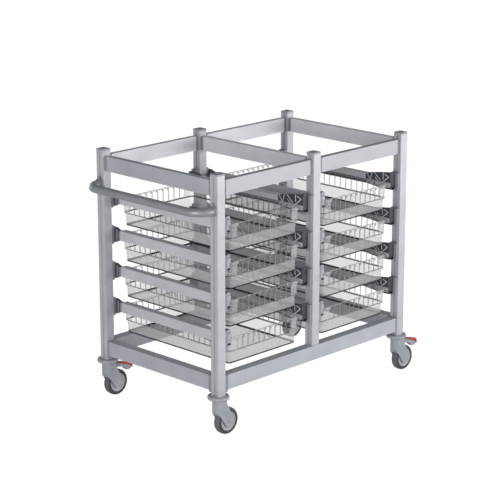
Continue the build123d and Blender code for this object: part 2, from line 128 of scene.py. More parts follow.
def addSoftbox(name, place, size, power):
    # a rectangular light that faces the middle of the trolley
    lamp = bpy.data.lights.new(name, "AREA")
    lamp.shape = "RECTANGLE"
    lamp.size, lamp.size_y = size
    lamp.energy = power
    box = bpy.data.objects.new(name, lamp)
    box.location = place
    box.visible_camera = False
    aim = np.array([0.0, 0.0, studio["aimHeight"]]) - np.array(place)
    box.rotation_euler = Euler((math.atan2(math.hypot(aim[0], aim[1]), -aim[2]), 0.0,
                                math.atan2(-aim[0], aim[1])))
    bpy.context.scene.collection.objects.link(box)


for lampName in ("key", "fill", "back", "side"):
    addSoftbox(lampName + "Softbox", studio[lampName + "Place"], studio[lampName + "Size"],
               studio[lampName + "Power"])

half = studio["floorSize"] / 2
drop = -studio["floorDrop"] * mm
floorMesh = bpy.data.meshes.new("studioFloor")
floorMesh.from_pydata([(-half, -half, drop), (half, -half, drop), (half, half, drop), (-half, half, drop)],
                      [], [(0, 1, 2, 3)])
floor = bpy.data.objects.new("studioFloor", floorMesh)
bpy.context.scene.collection.objects.link(floor)
paper, tree = newMaterial("whitePaperFloor")
# the sheet is lit from behind: it shows white, and gives the trolley only a soft bounce
seen = addNode(tree, "LightPath")
strength = addNode(tree, "MapRange", None, {"Value": seen.outputs["Is Camera Ray"],
                                            "To Min": studio["floorBounce"], "To Max": studio["floorGlow"]})
finishMaterial(tree, addNode(tree, "Emission", None, {"Color": linearColour(studio["floor"]),
                                                      "Strength": strength.outputs[0]}))
floorMesh.materials.append(paper)
print("studio ready")


# Materials
def surfaceWave(tree, scale, stretch, detail):
    # a noise on Object coordinates: scale in repeats for each metre, stretched along each axis
    place = addNode(tree, "TexCoord")
    turn = addNode(tree, "Mapping", None, {"Vector": place.outputs["Object"], "Scale": stretch})
    return addNode(tree, "TexNoise", None, {"Vector": turn.outputs[0], "Scale": scale, "Detail": detail})


def shadedBy(tree, wave, low, high):
    # the middle of a noise, spread from one value to the other
    return addNode(tree, "MapRange", None, {"Value": wave.outputs[0], "From Min": 0.3, "From Max": 0.7,
                                            "To Min": low, "To Max": high})


# Natural anodised aluminium, extruded and satin etched: the oxide skin is half matt, so the metal
# reads soft and grey, with die lines along its length. The real lines are about 0.3 mm apart, drawn
# at 1.5 mm. The low metallic share stands for the oxide, which hides most of the metal's mirror.
extrusionSetup = {"colour": "BBBEC4", "dark": "B0B4BB", "roughness": (0.4, 0.52), "lineSpacing": 1.5,
                  "bump": 0.05, "metallic": 0.35}


def satinExtrusion(name, stretch, setup):
    made, tree = newMaterial(name)
    lines = surfaceWave(tree, 1 / (setup["lineSpacing"] * mm), stretch, 2.0)
    cloud = surfaceWave(tree, 9.0, (1.0, 1.0, 1.0), 3.0)
    rough = shadedBy(tree, lines, *setup["roughness"])
    tone = shadedBy(tree, cloud, 0.0, 1.0)
    colour = addNode(tree, "Mix", {"data_type": "RGBA"}, {0: tone.outputs[0]})
    colour.inputs[6].default_value = linearColour(setup["colour"])
    colour.inputs[7].default_value = linearColour(setup["dark"])
    bump = addNode(tree, "Bump", None, {"Strength": setup["bump"], "Distance": 0.2 * mm,
                                        "Height": lines.outputs[0]})
    finishMaterial(tree, addNode(tree, "BsdfPrincipled", None, {
        "Base Color": colour.outputs[2], "Metallic": setup["metallic"],
        "Roughness": rough.outputs[0], "Normal": bump.outputs[0]}))
    return made


lengthAluminium = satinExtrusion("anodisedAluminiumAlong", (0.01, 1.0, 1.0), extrusionSetup)
crossAluminium = satinExtrusion("anodisedAluminiumAcross", (1.0, 0.01, 1.0), extrusionSetup)
# The posts, beams and runners have one finish. Only its tone is set for each group of them, darker in
# front and lighter behind: painted shade on the front top beams, and painted light on the posts, the runners
# and the back and the middle and right cross top beams, to make up for how the light of this studio falls on
# them.
postLitSetup = {**extrusionSetup, "colour": "C2C4C8", "dark": "B8BABF"}
uprightLitAluminium = satinExtrusion("anodisedAluminiumPost", (1.0, 1.0, 0.01), postLitSetup)
frontShadedSetup = {**extrusionSetup, "colour": "B2B4B8", "dark": "ABAEB3"}
frontShadedAluminium = satinExtrusion("anodisedAluminiumFront", (0.01, 1.0, 1.0), frontShadedSetup)
farLitSetup = {**extrusionSetup, "colour": "E6E8EB", "dark": "DADCE0"}
farLitAluminium = satinExtrusion("anodisedAluminiumFar", (0.01, 1.0, 1.0), farLitSetup)
farLitCrossAluminium = satinExtrusion("anodisedAluminiumFarAcross", (1.0, 0.01, 1.0), farLitSetup)
runnerLitSetup = {**extrusionSetup, "colour": "CFD1D5", "dark": "C3C6CB"}
runnerLitAluminium = satinExtrusion("anodisedAluminiumRunner", (1.0, 0.01, 1.0), runnerLitSetup)
# the handle tube has a darker tone of the same finish: painted shade
tubeShadedSetup = {**extrusionSetup, "colour": "9B9EA3", "dark": "8F9298", "roughness": (0.34, 0.44)}
tubeShadedAluminium = satinExtrusion("anodisedAluminiumTube", (1.0, 0.02, 1.0), tubeShadedSetup)


# Moulded plastics: an even colour with a fine eroded skin of about 0.4 mm grain, drawn at 0.8 mm,
# and a broad sheen that varies a little where hands and cleaning have polished it.
def mouldedPlastic(name, colour, dark, roughness, grain=0.8, bump=0.12, coat=0.0):
    made, tree = newMaterial(name)
    skin = surfaceWave(tree, 1 / (grain * mm), (1.0, 1.0, 1.0), 2.0)
    cloud = surfaceWave(tree, 14.0, (1.0, 1.0, 1.0), 4.0)
    rough = shadedBy(tree, cloud, *roughness)
    colours = addNode(tree, "Mix", {"data_type": "RGBA"}, {0: shadedBy(tree, cloud, 0.0, 1.0).outputs[0]})
    colours.inputs[6].default_value = linearColour(colour)
    colours.inputs[7].default_value = linearColour(dark)
    dents = addNode(tree, "Bump", None, {"Strength": bump, "Distance": 0.1 * mm,
                                         "Height": skin.outputs[0]})
    finishMaterial(tree, addNode(tree, "BsdfPrincipled", None, {
        "Base Color": colours.outputs[2], "IOR": 1.5, "Coat Weight": coat,
        "Roughness": rough.outputs[0], "Normal": dents.outputs[0]}))
    return made


connectorPlastic = mouldedPlastic("greyPolyamide", "8F9298", "84878D", (0.45, 0.6))
capPlastic = mouldedPlastic("greyPolyamideCap", "A6A8AC", "9A9CA1", (0.4, 0.55))
darkPlastic = mouldedPlastic("darkPolyamide", "3F4348", "34373C", (0.35, 0.5))
casterPlastic = mouldedPlastic("greyCasterPolyamide", "A0A3A9", "93969C", (0.38, 0.55))
ringPlastic = mouldedPlastic("greyRingPolyamide", "A2A5AB", "95989E", (0.38, 0.55))
hubPlastic = mouldedPlastic("lightCasterPolyamide", "A5A7AC", "989BA0", (0.4, 0.55))
redPlastic = mouldedPlastic("redPolyamide", "BC2230", "A81D2A", (0.3, 0.42), coat=0.2)
platePlastic = mouldedPlastic("greyPolyamidePlate", "B4B7BB", "A7AAAF", (0.35, 0.5))
shadedStripPlastic = mouldedPlastic("softPvcStrip", "A2A5AA", "96999F", (0.45, 0.6))


# The same polyamide on the ribbed cheeks of the runner ends, with a painted highlight along the crests of the
# ribs; crest is the colour of that highlight.
def ribHighlightPolyamide(name, colour, crest, roughness):
    made, tree = newMaterial(name)
    rib = addNode(tree, "Attribute", {"attribute_name": "rib"})
    skin = surfaceWave(tree, 1 / (0.8 * mm), (1.0, 1.0, 1.0), 2.0)
    cloud = surfaceWave(tree, 14.0, (1.0, 1.0, 1.0), 4.0)
    crestHighlight = addNode(tree, "MapRange", None, {"Value": rib.outputs["Fac"], "From Min": 0.35,
                                            "From Max": 0.9, "To Min": 0.0, "To Max": 1.0})
    colours = addNode(tree, "Mix", {"data_type": "RGBA"}, {0: crestHighlight.outputs[0]})
    colours.inputs[6].default_value = linearColour(colour)
    colours.inputs[7].default_value = linearColour(crest)
    dents = addNode(tree, "Bump", None, {"Strength": 0.12, "Distance": 0.1 * mm, "Height": skin.outputs[0]})
    finishMaterial(tree, addNode(tree, "BsdfPrincipled", None, {
        "Base Color": colours.outputs[2], "IOR": 1.5, "Normal": dents.outputs[0],
        "Roughness": shadedBy(tree, cloud, *roughness).outputs[0]}))
    return made


ribHighlightPlastic = ribHighlightPolyamide("darkPolyamideRibbed", "3A3E43", "C9CCD1", (0.35, 0.5))
ribHighlightGreyPlastic = ribHighlightPolyamide("greyPolyamideRibbed", "50545A", "A0A4AA", (0.4, 0.55))

# Thermoplastic rubber: a matt grey tread, faintly scuffed where it rolls, and darker flanks.
treadRubber = mouldedPlastic("greyTreadRubber", "656667", "58595B", (0.62, 0.8), grain=1.6, bump=0.3)
flankRubber = mouldedPlastic("darkFlankRubber", "3C3E40", "333537", (0.5, 0.65))

# Zinc plated steel: bright, slightly cloudy.
zincSteel, tree = newMaterial("zincPlatedSteel")
cloud = surfaceWave(tree, 60.0, (1.0, 1.0, 1.0), 3.0)
finishMaterial(tree, addNode(tree, "BsdfPrincipled", None, {
    "Base Color": linearColour("B6B8BB"), "Metallic": 1.0,
    "Roughness": shadedBy(tree, cloud, 0.4, 0.55).outputs[0]}))

# Injection moulded clear polycarbonate, 2.4 mm thick: the walls let nearly all light straight
# through and only mirror at a slant. What is seen end on, through its own width, and the bends read dark:
# the edge and foot finishes paint that darkness into their body colour, as painted shade.
clearSetup = {
    # share is how much of the light stays on the wall, face on and at a slant
    "wall": {"tint": "FEFEFE", "body": "D8D9D8", "share": (0.13, 0.64), "roughness": 0.1},
    "edge": {"tint": "DADADA", "body": "3E4042", "share": (0.5, 0.88), "roughness": 0.12},
    "foot": {"tint": "9A9B9C", "body": "222426", "share": (0.78, 0.95), "roughness": 0.15},
}


def clearPolycarbonate(name, setup):
    made, tree = newMaterial(name)
    facing = addNode(tree, "LayerWeight", None, {"Blend": 0.25})
    flow = surfaceWave(tree, 11.0, (1.0, 1.0, 1.0), 2.0)    # faint flow marks of the moulding
    share = addNode(tree, "MapRange", None, {
        "Value": facing.outputs["Facing"], "From Min": 0.0, "From Max": 1.0,
        "To Min": setup["share"][0], "To Max": setup["share"][1]})
    seeThrough = addNode(tree, "BsdfTransparent", None, {"Color": linearColour(setup["tint"])})
    ripple = addNode(tree, "Bump", None, {"Strength": 0.25, "Distance": 1.0 * mm,
                                          "Height": flow.outputs[0]})
    wall = addNode(tree, "BsdfPrincipled", None, {
        "Base Color": linearColour(setup["body"]), "IOR": 1.58, "Roughness": setup["roughness"],
        "Normal": ripple.outputs[0]})
    finishMaterial(tree, addNode(tree, "MixShader", None, {
        0: share.outputs[0], 1: seeThrough.outputs[0], 2: wall.outputs[0]}))
    return made


clearPlastic = clearPolycarbonate("clearPolycarbonate", clearSetup["wall"])
clearEdgeShade = clearPolycarbonate("clearPolycarbonateEdge", clearSetup["edge"])
clearFootShade = clearPolycarbonate("clearPolycarbonateFoot", clearSetup["foot"])


def dress(name, material):
    # a CAD node keeps its mesh and gets this material
    part = nodes[name]
    part.data.materials.clear()
    part.data.materials.append(material)


finishes = [
    (lambda n: n == "post_caps", capPlastic),
    (lambda n: n.startswith("post_"), uprightLitAluminium),
    (lambda n: n.startswith("top_cross_beam") and not n.endswith("left"), farLitCrossAluminium),
    (lambda n: "cross_beam" in n, crossAluminium),
    (lambda n: n.startswith("top_back_beam"), farLitAluminium),
    (lambda n: n.startswith("top_front_beam"), frontShadedAluminium),
    (lambda n: "_beam" in n, lengthAluminium),
    (lambda n: n in ("top_connectors", "base_connectors", "handle_sockets", "runner_brackets"),
     connectorPlastic),
    (lambda n: n == "middle_post_feet", darkPlastic),
    (lambda n: n == "handle_tube", tubeShadedAluminium),
    (lambda n: n.endswith("_runners"), runnerLitAluminium),
    (lambda n: n in ("runner_front_ends", "runner_back_ends"), darkPlastic),
    (lambda n: n.startswith("basket"), clearPlastic),
    (lambda n: n == "bumper_rings" or n.startswith(("fork", "brake_lever")), casterPlastic),
    (lambda n: n.startswith("axle") or n == "caster_stems", zincSteel),
    (lambda n: n.startswith("hub"), hubPlastic),
    (lambda n: n.startswith("tyre"), treadRubber),
    (lambda n: n.startswith("brake_pad"), redPlastic),
]
for nodeName in nodes:
    dress(nodeName, next(material for test, material in finishes if test(nodeName)))
print("materials ready")


# Shapes
def meshPiece(name, points, faces, material, body, replaced=(), closed=True):
    # a new piece from an array of points and lists of faces, riding on a CAD body
    mesh = bpy.data.meshes.new(name)
    mesh.from_pydata(np.asarray(points).reshape(-1, 3).tolist(), [], faces)
    mesh.update()
    return finishPiece(name, mesh, material, body, replaced, closed)


def finishPiece(name, mesh, material, body, replaced=(), closed=True, sharp=35):
    # shading, finish and body of a piece; a closed one has its faces turned outwards
    if closed:
        shape = bmesh.new()
        shape.from_mesh(mesh)
        bmesh.ops.recalc_face_normals(shape, faces=shape.faces)
        shape.to_mesh(mesh)
        shape.free()
    mesh.shade_smooth()
    mesh.set_sharp_from_angle(angle=math.radians(sharp))
    mesh.materials.append(material)
    piece = bpy.data.objects.new(name, mesh)
    bpy.context.scene.collection.objects.link(piece)
    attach(piece, body)
    if replaced:
        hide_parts(*replaced)
    return piece


def gridFaces(rows, columns, closedRows=False, closedColumns=False):
    # quads of a grid of points, row after row, as index arrays
    i, j = np.meshgrid(np.arange(rows if closedRows else rows - 1),
                       np.arange(columns if closedColumns else columns - 1), indexing="ij")
    a = i * columns + j
    b = i * columns + (j + 1) % columns
    c = ((i + 1) % rows) * columns + (j + 1) % columns
    d = ((i + 1) % rows) * columns + j
    return np.stack([a, b, c, d], -1)


def tubeFaces(rows, columns):
    # rings of points joined into a tube, with a face over each end
    faces = gridFaces(rows, columns, closedColumns=True).reshape(-1, 4).tolist()
    return faces + [list(range(columns))[::-1], list(range((rows - 1) * columns, rows * columns))]


def faceValues(piece, key):
    # the normals or centres of a piece's faces
    values = np.zeros(len(piece.data.polygons) * 3)
    piece.data.polygons.foreach_get(key, values)
    return values.reshape(-1, 3)


def paintFaces(piece, material, chosen):
    # a second material on the chosen faces
    piece.data.materials.append(material)
    piece.data.polygons.foreach_set("material_index", chosen.astype(np.int32))


def nodeCentre(name):
    # the middle of a CAD node's box
    low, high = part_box(name)
    return np.array([(low.x + high.x) / 2, (low.y + high.y) / 2, (low.z + high.z) / 2])


def arcPoints(centre, radius, start, end, steps):
    # centre + radius * (cos, sin), from one angle to the other in degrees
    turn = np.radians(np.linspace(start, end, steps))
    return [(centre[0] + radius * c, centre[1] + radius * s) for c, s in zip(np.cos(turn), np.sin(turn))]


# Baskets: a thin wall whose profile is carried round a rounded rectangle, with the cells of
# the upper stage left open between the bars
basketSetup = {
    "width": 410.0, "length": 620.0, "corner": 30.0,
    "bottom": 268.0, "levelPitch": 150.0, "forward": 7.5, "wall": 2.4,
    "windowPitch": 30.5, "windowWidth": 26.0, "windowMargin": 20.0, "windowRows": (56.0, 106.5),
    "cornerSteps": 9,
    # inset from the rim and height: foot, lower stage, ledge, bars, flange and turned down rim
    "profile": [(24.0, 0.0), (18.8, 0.0), (17.2, 0.7), (16.5, 2.2), (16.3, 5.6), (15.6, 18.0), (14.6, 35.0),
                (13.7, 50.4), (13.1, 51.8), (12.0, 52.2), (9.0, 52.2), (7.9, 52.8), (7.5, 54.2),
                (7.4, 56.0), (6.1, 106.5), (6.0, 108.6), (5.4, 109.6), (3.2, 109.6), (2.6, 108.8),
                (2.45, 99.2)],
    "footRow": 5.7, "ledgeRows": (50.3, 54.3),    # heights of the bends, which read dark
}


def basketOutline(setup):
    # places along the rim: core points, outward normals, and which cells can be windows
    halfX, halfY = setup["width"] / 2 - setup["corner"], setup["length"] / 2 - setup["corner"]
    bar = setup["windowPitch"] - setup["windowWidth"]
    cores, normals, opens = [], [], []
    for side, (across, reach) in enumerate(((halfY, halfX), (halfX, halfY), (halfY, halfX), (halfX, halfY))):
        angle = -math.pi / 2 + side * math.pi / 2
        normal = np.array([math.cos(angle), math.sin(angle)])
        along = np.array([-normal[1], normal[0]])
        count = int((2 * reach - 2 * setup["windowMargin"] + bar) // setup["windowPitch"])
        centres = (np.arange(count) - (count - 1) / 2) * setup["windowPitch"]
        edges = (centres[:, None] + np.array([-0.5, 0.0, 0.5]) * setup["windowWidth"]).ravel()
        places = np.concatenate([[-reach], edges, [reach]])
        isOpen = np.concatenate([[False], np.tile([True, True, False], count)])
        cores.append(across * normal + places[:, None] * along)
        normals.append(np.tile(normal, (len(places), 1)))
        opens.append(np.concatenate([isOpen, [False]]))
        turn = angle + np.linspace(0, math.pi / 2, setup["cornerSteps"] + 1)[1:-1]
        pivot = across * normal + reach * along
        cores.append(np.tile(pivot, (len(turn), 1)))
        normals.append(np.stack([np.cos(turn), np.sin(turn)], -1))
        opens.append(np.zeros(len(turn), bool))
    return np.concatenate(cores), np.concatenate(normals), np.concatenate(opens)


def basketShell(setup, centreX, bottomZ):
    # point = core + normal * (corner - inset), lifted to each profile height
    core, normal, canOpen = basketOutline(setup)
    profile = np.array(setup["profile"])
    flatXY = core[None] + normal[None] * (setup["corner"] - profile[:, 0])[:, None, None]
    heights = np.broadcast_to(profile[:, 1][:, None], flatXY.shape[:2])
    points = np.concatenate([flatXY, heights[..., None]], -1)
    points = points * mm + np.array([centreX, -setup["forward"] * mm, bottomZ])
    faces = gridFaces(len(profile), len(core), closedColumns=True)
    low, high = setup["windowRows"]
    inWindow = (profile[:-1, 1] >= low - 0.01) & (profile[1:, 1] <= high + 0.01)
    keep = ~(inWindow[:, None] & canOpen[None])
    low, high = setup["ledgeRows"]
    bend = ((profile[:-1, 1] >= low) & (profile[1:, 1] <= high)).astype(int)    # 1 edge, 2 foot
    bend[profile[1:, 1] <= setup["footRow"]] = 2
    slots = np.broadcast_to(bend[:, None], keep.shape)[keep]
    floorFace = list(range(len(core) - 1, -1, -1))
    return points, [floorFace] + faces[keep].tolist(), np.concatenate([[0], slots])


for bayName in ("left", "right"):
    bayX = nodeCentre(f"basket_{bayName}_1")[0]
    for level in range(4):
        basketName = f"basket_{bayName}_{level + 1}"
        bottomZ = (basketSetup["bottom"] + level * basketSetup["levelPitch"]) * mm
        points, faces, faceSlots = basketShell(basketSetup, bayX, bottomZ)
        piece = meshPiece(f"clearBasket_{bayName}_{level + 1}", points, faces, clearPlastic,
                          basketName + "_body", (basketName,), closed=False)
        piece.data.materials.append(clearEdgeShade)
        paintFaces(piece, clearFootShade, faceSlots)
        skin = piece.modifiers.new("wall", "SOLIDIFY")
        skin.thickness = basketSetup["wall"] * mm
        skin.offset = -1.0
        skin.material_offset_rim = 1
print("baskets ready")


# Turned and moulded parts of the casters
def revolved(profile, centre, axis, steps=72, lobe=0.0):
    # point = centre + axis * along + radius * (cos u + sin v), the radius drawn in between four lobes
    profile = np.array(profile)
    axis = np.array(axis)
    u = np.array([1.0, 0.0, 0.0])
    v = np.cross(axis, u)
    turn = np.linspace(0, 2 * np.pi, steps, endpoint=False)
    ring = np.cos(turn)[:, None] * u + np.sin(turn)[:, None] * v
    wave = 1 - lobe * (1 - np.cos(4 * turn)) / 2
    radius = profile[:, 0][:, None] * wave[None]
    points = centre + mm * (profile[:, 1][:, None, None] * axis + radius[..., None] * ring[None])
    return points, gridFaces(len(profile), steps, True, True).reshape(-1, 4).tolist()


wheelSetup = {
    "tyreRadius": 54.0, "tyreHalf": 16.0, "tyreRound": 8.6, "tyreInner": 38.6, "flankFrom": 0.6,
    # radius and depth below the flank: a narrow groove round the tyre's seat
    "seatGroove": [(40.6, 0.5), (41.6, 0.2), (42.2, 0.9), (42.8, 0.2)],
    "discRadius": 39.0, "discFace": 15.0, "discPan": 14.3, "boss": 13.8, "bossFace": 16.7, "bore": 4.1,
    # radius and height from the pan: the step from the pan up to the disc's rim
    "discStep": [(29.5, -0.3), (31.0, 0.2), (32.6, 0.3), (34.0, 0.7)],
}
ringSetup = {
    "radius": 45.0, "half": 9.0, "round": 7.5, "bore": 6.1, "lobe": 0.035, "topFlat": 19.0,
    # radius and height above the underside: a stepped collar over the fork
    "collar": [(31.5, 2.6), (30.2, 1.4), (28.6, 0.5), (24.5, 0.0)],
}


def mirroredLoop(halfProfile):
    # a half profile from one side's middle outwards, and its mirror image back
    return halfProfile + [(radius, -along) for radius, along in reversed(halfProfile)]


def tyreProfile(setup):
    # a seat over the hub, flat flanks with a groove, round shoulders and a low crown
    shoulder = arcPoints((setup["tyreRadius"] - setup["tyreRound"] - 0.4,
                          setup["tyreHalf"] - setup["tyreRound"]), setup["tyreRound"], 88, 6, 8)
    side = [(setup["tyreInner"], setup["tyreHalf"] - 2.0)]
    side += [(radius, setup["tyreHalf"] - depth) for radius, depth in setup["seatGroove"]]
    return mirroredLoop(side + shoulder + [(setup["tyreRadius"] - 0.1, 3.5), (setup["tyreRadius"], 1.2)])


def hubProfile(setup):
    # a boss round the axle, a shallow pan and a raised rim against the tyre
    pan, face = setup["discPan"], setup["discFace"]
    boss = [(setup["bore"], 2.0), (setup["bore"], setup["bossFace"] - 0.5),
            (setup["bore"] + 0.6, setup["bossFace"]), (setup["boss"] - 1.2, setup["bossFace"]),
            (setup["boss"], setup["bossFace"] - 1.2), (setup["boss"] + 0.6, pan + 0.6),
            (setup["boss"] + 2.0, pan)]
    step = [(radius, pan + rise) for radius, rise in setup["discStep"]]
    rim = [(setup["discRadius"] - 1.0, face), (setup["discRadius"] - 0.2, face - 0.8),
           (setup["discRadius"] - 0.2, 2.0)]
    return mirroredLoop(boss + step + rim)


def ringProfile(setup):
    # a flat top, a round edge and the collar under it
    flat, edge, bend, bore = setup["half"], setup["radius"], setup["round"], setup["bore"]
    top = [(bore, 2.0), (bore, flat - 0.4), (setup["topFlat"], flat), (edge - bend - 1.0, flat)]
    upper = arcPoints((edge - bend, flat - bend), bend, 84, 6, 7)
    lower = arcPoints((edge - bend, -flat + bend + 3.0), bend, -6, -74, 6)
    collar = [(radius, -flat + rise) for radius, rise in setup["collar"]]
    return top + upper + lower + collar + [(bore, -flat), (bore, -2.0)]


corners = ("front_left", "front_right", "back_left", "back_right")
ringLow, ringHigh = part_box("bumper_rings")
for corner in corners:
    wheelCentre = nodeCentre("tyre_" + corner)
    points, faces = revolved(tyreProfile(wheelSetup), wheelCentre, (0, 1, 0), 96)
    tyre = meshPiece("treadTyre_" + corner, points, faces, treadRubber, "wheel_" + corner,
                     ("tyre_" + corner,))
    paintFaces(tyre, flankRubber, np.abs(faceValues(tyre, "normal")[:, 1]) > wheelSetup["flankFrom"])
    points, faces = revolved(hubProfile(wheelSetup), wheelCentre, (0, 1, 0))
    meshPiece("dishedHub_" + corner, points, faces, hubPlastic, "wheel_" + corner,
              ("hub_" + corner,))
    inset = ringSetup["radius"] * mm
    ringCentre = np.array([ringLow.x + inset if "left" in corner else ringHigh.x - inset,
                           ringLow.y + inset if "front" in corner else ringHigh.y - inset,
                           (ringLow.z + ringHigh.z) / 2])
    points, faces = revolved(ringProfile(ringSetup), ringCentre, (0, 0, 1), 96, ringSetup["lobe"])
    meshPiece("bumperRing_" + corner, points, faces, ringPlastic, "frame", ("bumper_rings",))
print("wheels and rings ready")


# Moulded parts that keep the CAD shape, with their edges rounded
softSetup = {
    "fork": 3.0, "lever": 2.0, "bracket": 2.0, "connector": 0.8, "socket": 1.6, "foot": 0.8,
    "sharp": 28, "flat": 1.5, "shadeInside": 0.6,
}


def softenedCopy(nodeName, pieceName, edge, material, body):
    # the CAD solid with its triangles joined into faces and its edges bevelled
    shape = bmesh.new()
    shape.from_mesh(nodes[nodeName].data)
    bmesh.ops.remove_doubles(shape, verts=shape.verts, dist=0.01 * mm)
    bmesh.ops.dissolve_limit(shape, angle_limit=math.radians(softSetup["flat"]), verts=shape.verts,
                             edges=shape.edges)
    mesh = bpy.data.meshes.new(pieceName)
    shape.to_mesh(mesh)
    shape.free()
    piece = finishPiece(pieceName, mesh, material, body, (nodeName,), True,
                        softSetup["sharp"])
    bevel = piece.modifiers.new("edge", "BEVEL")
    bevel.width = edge * mm
    bevel.segments = 3
    bevel.limit_method = "ANGLE"
    bevel.angle_limit = math.radians(softSetup["sharp"])
    bevel.harden_normals = True
    return piece


# the red pedal: a rounded plate that thickens into a bulb at its tip
padSetup = {
    "half": 13.4, "start": 6.0, "thicken": 8.0, "bulbLength": 18.0, "topDrop": 20.0,
    "tipRound": 3.5, "tipWidth": 0.35, "tipLeast": 0.0004,    # how far the ends close
    "power": 4.5, "steps": 32, "rows": 40,
}


def padShape(setup, low, high):
    # superellipse sections |y/w|^p + |z/h|^p = 1, carried along x between two edges of the CAD
    # pedal: the top falls on a straight slope, and the underside drops into the bulb
    length = (high.x - low.x) / mm
    x = length * (1 - np.cos(np.linspace(0, np.pi, setup["rows"]))) / 2
    fall = (high.z - low.z) / mm
    bulb = np.clip((x - length + setup["bulbLength"]) / setup["bulbLength"], 0, 1)
    topZ = -setup["topDrop"] * x / length
    plate = setup["start"] + setup["thicken"] * x / length
    underZ = topZ - plate - (fall - setup["topDrop"] - plate) * (3 * bulb ** 2 - 2 * bulb ** 3)
    nearEnd = np.clip(np.minimum(x, length - x) / setup["tipRound"], 0, 1)
    close = np.sqrt(np.clip(1 - (1 - nearEnd) ** 2, setup["tipLeast"], 1))
    turn = np.linspace(0, 2 * np.pi, setup["steps"], endpoint=False)
    power = 2 / setup["power"]
    acrossUnit = np.sign(np.cos(turn)) * np.abs(np.cos(turn)) ** power
    upUnit = np.sign(np.sin(turn)) * np.abs(np.sin(turn)) ** power
    middle, halfHigh = (topZ + underZ) / 2, (topZ - underZ) / 2 * close
    width = setup["half"] * (setup["tipWidth"] + (1 - setup["tipWidth"]) * close)
    y = width[:, None] * acrossUnit[None]
    z = middle[:, None] + halfHigh[:, None] * upUnit[None]
    points = np.stack([np.broadcast_to(x[:, None], y.shape), y, z], -1) * mm
    points += np.array([low.x, (low.y + high.y) / 2, high.z])
    return points, tubeFaces(setup["rows"], setup["steps"])


for corner in corners:
    fork = softenedCopy("fork_" + corner, "casterFork_" + corner, softSetup["fork"], casterPlastic,
                        f"fork_{corner}_body")
    # the inside of the fork, whose faces look towards the wheel, is painted dark: painted shade in the gap
    # between the fork and the tyre
    towards = (nodeCentre("tyre_" + corner) - faceValues(fork, "center"))[:, [0, 2]]
    facing = (towards * faceValues(fork, "normal")[:, [0, 2]]).sum(1)
    paintFaces(fork, darkPlastic, facing > softSetup["shadeInside"] * np.hypot(towards[:, 0], towards[:, 1]))
for corner in ("front_right", "back_left"):
    softenedCopy("brake_lever_" + corner, "brakeLever_" + corner, softSetup["lever"], casterPlastic,
                 "brake_" + corner)
    padLow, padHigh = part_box("brake_pad_" + corner)
    points, faces = padShape(padSetup, padLow, padHigh)
    meshPiece("brakePad_" + corner, points, faces, redPlastic, "brake_" + corner,
              ("brake_pad_" + corner,))
for nodeName, pieceName, edge in (("runner_brackets", "runnerBrackets", "bracket"),
                                  ("top_connectors", "topConnectors", "connector"),
                                  ("base_connectors", "baseConnectors", "connector"),
                                  ("handle_sockets", "handleSockets", "socket")):
    softenedCopy(nodeName, pieceName, softSetup[edge], connectorPlastic, "frame")
softenedCopy("middle_post_feet", "middlePostFeet", softSetup["foot"], capPlastic, "frame")
print("softened parts ready")


# Post caps: a low lid, a little proud of the post, with rounded corners
capSetup = {
    "half": 20.0, "corner": 3.0, "least": 0.8, "steps": 6,
    # inset and height: plug, underside, lid edge and the low crown
    "profile": [(1.0, -12.0), (1.0, -0.2), (-0.8, 0.0), (-0.9, 0.8), (-0.8, 5.2), (0.0, 6.8), (1.8, 7.6),
                (4.0, 7.8), (12.0, 8.0)],
}


def squareRows(setup):
    # point = corner core (half - inset - radius) + radius * (cos, sin), for each row of the profile
    turn = np.radians(np.concatenate([np.linspace(q, q + 90, setup["steps"] + 1) for q in (0, 90, 180, 270)]))
    normals = np.stack([np.cos(turn), np.sin(turn)], -1)
    signs = np.repeat(np.array([[1, 1], [-1, 1], [-1, -1], [1, -1]]), setup["steps"] + 1, axis=0)
    profile = np.array(setup["profile"])
    radius = np.maximum(setup["corner"] - profile[:, 0], setup["least"])[:, None, None]
    flatXY = signs * (setup["half"] - profile[:, 0][:, None, None] - radius) + normals * radius
    heights = np.broadcast_to(profile[:, 1][:, None], flatXY.shape[:2])
    return np.concatenate([flatXY, heights[..., None]], -1) * mm


postNames = [f"post_{row}_{column}" for row in ("front", "back") for column in ("left", "middle", "right")]
for postName in postNames:
    low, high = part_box(postName)
    points = squareRows(capSetup) + np.array([(low.x + high.x) / 2, (low.y + high.y) / 2, high.z])
    meshPiece("cap_" + postName, points, tubeFaces(*points.shape[:2]), capPlastic, "frame",
              ("post_caps",))
print("caps ready")


# Cover strips clipped into the post slots, a little below the face, in a grey darker than the post:
# painted shade for the slots. The right end stays open for its slot nuts.
stripSetup = {
    "half": 20.0, "endGap": 0.5,
    # a shallow V, across the slot and in depth below the post face
    "outline": [(-3.85, 5.2), (-3.85, 0.2), (-0.3, 4.3), (0.3, 4.3), (3.85, 0.2), (3.85, 5.2)],
}


def prism(outline, start, end):
    # a closed outline drawn from one height to the other
    outline = np.array(outline)
    points = np.stack([np.concatenate([outline, np.full((len(outline), 1), height)], 1)
                       for height in (start, end)])
    return points, tubeFaces(2, len(outline))


for postName in postNames:
    low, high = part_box(postName)
    for side in (-1, 1):
        if side == 1 and "right" in postName:
            continue
        flat = np.array(stripSetup["outline"]) * mm
        outline = np.stack([(low.x + high.x) / 2 + side * (stripSetup["half"] * mm - flat[:, 1]),
                            (low.y + high.y) / 2 + flat[:, 0]], -1)
        gap = stripSetup["endGap"] * mm
        points, faces = prism(outline, low.z + gap, high.z - gap)
        meshPiece(f"slotStrip_{postName}_{'left' if side < 0 else 'right'}", points, faces, shadedStripPlastic,
                  "frame")
print("slot strips ready")


